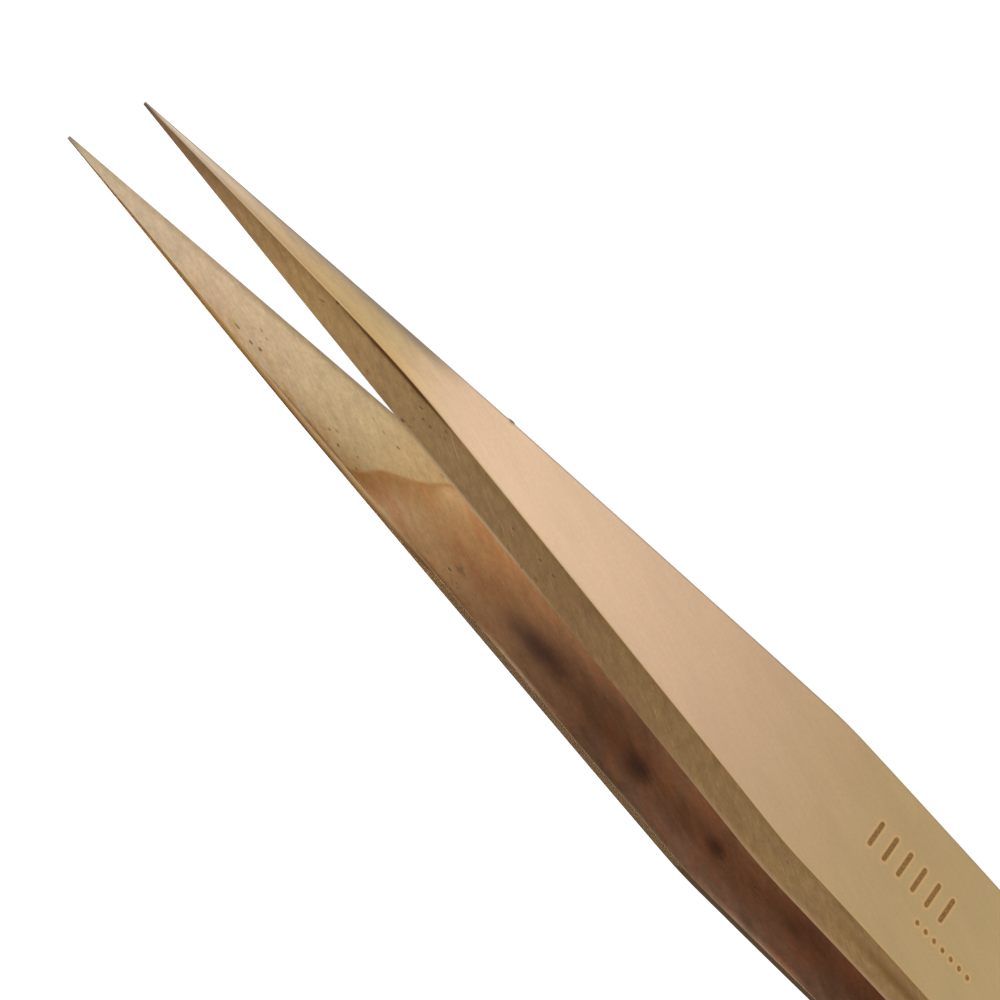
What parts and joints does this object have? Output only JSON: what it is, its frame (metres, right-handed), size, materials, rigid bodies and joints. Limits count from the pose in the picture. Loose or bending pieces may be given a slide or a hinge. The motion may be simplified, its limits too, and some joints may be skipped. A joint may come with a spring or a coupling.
{
  "type": "tweezers",
  "caption": "Fine-pointed sprung tongs: tapered, side-bevelled arms riveted together at the tail through a spacer, squeezed to close their needle points on a stamp or small flat item.",
  "frame": {"origin": "middle of the base of the part's box, on the surface that the tongs lie on", "axes": "+X along the tongs towards the points, +Y from the right arm to the left arm, +Z across the width of the arms"},
  "size_m": [0.12, 0.0086, 0.01],
  "materials": {
    "arm_metal": "satin copper-beryllium, pale golden brown, with faint mottling, pits and heat stains",
    "spacer_metal": "satin, sawn and linished flush with the arms' edges",
    "rivet_metal": "satin, linished flush with the arms"
  },
  "bodies": {
    "tail": {"left_arm_heel": "arm_metal", "right_arm_heel": "arm_metal", "tail_spacer": "spacer_metal", "front_rivet": "rivet_metal", "rear_rivet": "rivet_metal"},
    "left_arm": {"left_arm_blade": "arm_metal"},
    "right_arm": {"right_arm_blade": "arm_metal"}
  },
  "joints": [
    {"name": "right_arm_squeeze", "type": "hinge", "parent": "tail", "child": "right_arm", "pos_m": [-0.026, -0.00157, 0.005], "axis": [0, 0, 1], "range_deg": [0, 1.96], "stiffness_Nm_per_rad": 2.5},
    {"name": "left_arm_squeeze", "type": "hinge", "parent": "tail", "child": "left_arm", "pos_m": [-0.026, 0.00157, 0.005], "axis": [0, 0, -1], "range_deg": [0, 1.96], "stiffness_Nm_per_rad": 2.5}
  ],
  "couplings": [
    {"joint": "left_arm_squeeze", "follows": "right_arm_squeeze", "ratio": 1}
  ]
}
